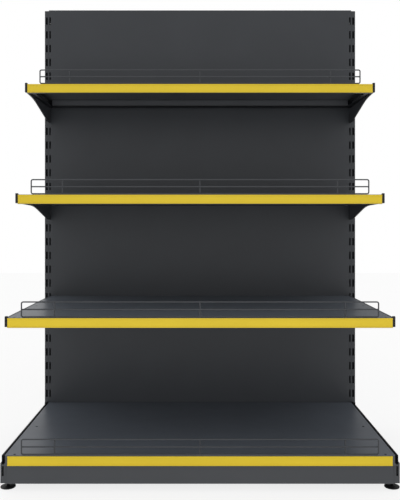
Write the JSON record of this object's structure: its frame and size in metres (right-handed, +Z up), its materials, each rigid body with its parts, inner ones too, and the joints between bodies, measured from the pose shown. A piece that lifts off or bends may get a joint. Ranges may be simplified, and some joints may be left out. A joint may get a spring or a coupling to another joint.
{
  "type": "retail shelving unit",
  "caption": "Free-standing wall bay of shop shelving: slotted uprights with a clad back, a base deck with kick plate, hook-on shelves with ticket strips and wire fences.",
  "frame": {"origin": "on the floor under the middle of the unit's bounding box", "axes": "+X to the right along the bay, the front faces -Y, +Z up"},
  "size_m": [1.039, 0.57, 1.388],
  "materials": {
    "anthracite": "satin powder coat",
    "dark_paint": "satin powder coat",
    "black_paint": "satin powder coat",
    "yellow_plastic": "semi-gloss",
    "black_plastic": "matt",
    "grey_wire": "gloss powder coat",
    "black_steel": "black zinc plate",
    "zinc_steel": "zinc plated"
  },
  "bodies": {
    "frame": {"upright_left": "anthracite", "upright_cap_left": "black_plastic", "base_leg_left": "black_paint", "kick_holder_left": "anthracite", "upright_right": "anthracite", "upright_cap_right": "black_plastic", "base_leg_right": "black_paint", "kick_holder_right": "anthracite", "back_panel_top": "anthracite", "back_panel_upper": "anthracite", "back_panel_lower": "anthracite", "back_panel_base": "anthracite", "tie_bar_top": "anthracite", "tie_bar_base": "anthracite", "tie_bolts": "zinc_steel", "tie_rivet_nuts": "zinc_steel", "foot_weld_nuts": "zinc_steel", "foot_inserts": "black_plastic"},
    "kick_board": {"kick_plate": "anthracite"},
    "deck": {"base_tray": "anthracite", "base_stiffener": "anthracite", "base_ticket_strip": "yellow_plastic", "base_ticket_card": "yellow_plastic"},
    "deck_rail": {"base_fence": "grey_wire"},
    "lower_arms": {"lower_bracket_left": "dark_paint", "lower_bracket_right": "dark_paint"},
    "lower_shelf": {"lower_tray": "anthracite", "lower_stiffener": "anthracite", "lower_ticket_strip": "yellow_plastic", "lower_ticket_card": "yellow_plastic"},
    "lower_rail": {"lower_fence": "grey_wire"},
    "middle_arms": {"middle_bracket_left": "dark_paint", "middle_bracket_right": "dark_paint"},
    "middle_shelf": {"middle_tray": "anthracite", "middle_stiffener": "anthracite", "middle_ticket_strip": "yellow_plastic", "middle_ticket_card": "yellow_plastic"},
    "middle_rail": {"middle_fence": "grey_wire"},
    "top_arms": {"top_bracket_left": "dark_paint", "top_bracket_right": "dark_paint"},
    "top_shelf": {"top_tray": "anthracite", "top_stiffener": "anthracite", "top_ticket_strip": "yellow_plastic", "top_ticket_card": "yellow_plastic"},
    "top_rail": {"top_fence": "grey_wire"},
    "front_left_foot": {"foot_pad_front_left": "black_plastic", "foot_stem_front_left": "black_steel"},
    "front_right_foot": {"foot_pad_front_right": "black_plastic", "foot_stem_front_right": "black_steel"},
    "rear_left_foot": {"foot_pad_rear_left": "black_plastic", "foot_stem_rear_left": "black_steel"},
    "rear_right_foot": {"foot_pad_rear_right": "black_plastic", "foot_stem_rear_right": "black_steel"}
  },
  "joints": [
    {"name": "kick_plate_lift", "type": "slide", "parent": "frame", "child": "kick_board", "axis": [0, 0, 1], "range_m": [0, 0.01]},
    {"name": "deck_lift", "type": "slide", "parent": "frame", "child": "deck", "axis": [0, 0, 1], "range_m": [0, 0.06]},
    {"name": "deck_rail_lift", "type": "slide", "parent": "deck", "child": "deck_rail", "axis": [0, 0, 1], "range_m": [0, 0.03]},
    {"name": "lower_arms_unhook", "type": "slide", "parent": "frame", "child": "lower_arms", "axis": [0, 0, 1], "range_m": [0, 0.011]},
    {"name": "lower_shelf_lift", "type": "slide", "parent": "lower_arms", "child": "lower_shelf", "axis": [0, 0, 1], "range_m": [0, 0.06]},
    {"name": "lower_rail_lift", "type": "slide", "parent": "lower_shelf", "child": "lower_rail", "axis": [0, 0, 1], "range_m": [0, 0.03]},
    {"name": "middle_arms_unhook", "type": "slide", "parent": "frame", "child": "middle_arms", "axis": [0, 0, 1], "range_m": [0, 0.011]},
    {"name": "middle_shelf_lift", "type": "slide", "parent": "middle_arms", "child": "middle_shelf", "axis": [0, 0, 1], "range_m": [0, 0.06]},
    {"name": "middle_rail_lift", "type": "slide", "parent": "middle_shelf", "child": "middle_rail", "axis": [0, 0, 1], "range_m": [0, 0.03]},
    {"name": "top_arms_unhook", "type": "slide", "parent": "frame", "child": "top_arms", "axis": [0, 0, 1], "range_m": [0, 0.011]},
    {"name": "top_shelf_lift", "type": "slide", "parent": "top_arms", "child": "top_shelf", "axis": [0, 0, 1], "range_m": [0, 0.06]},
    {"name": "top_rail_lift", "type": "slide", "parent": "top_shelf", "child": "top_rail", "axis": [0, 0, 1], "range_m": [0, 0.03]},
    {"name": "front_left_foot_screw", "type": "slide", "parent": "frame", "child": "front_left_foot", "axis": [0, 0, -1], "range_m": [0, 0.015]},
    {"name": "front_right_foot_screw", "type": "slide", "parent": "frame", "child": "front_right_foot", "axis": [0, 0, -1], "range_m": [0, 0.015]},
    {"name": "rear_left_foot_screw", "type": "slide", "parent": "frame", "child": "rear_left_foot", "axis": [0, 0, -1], "range_m": [0, 0.015]},
    {"name": "rear_right_foot_screw", "type": "slide", "parent": "frame", "child": "rear_right_foot", "axis": [0, 0, -1], "range_m": [0, 0.015]}
  ]
}
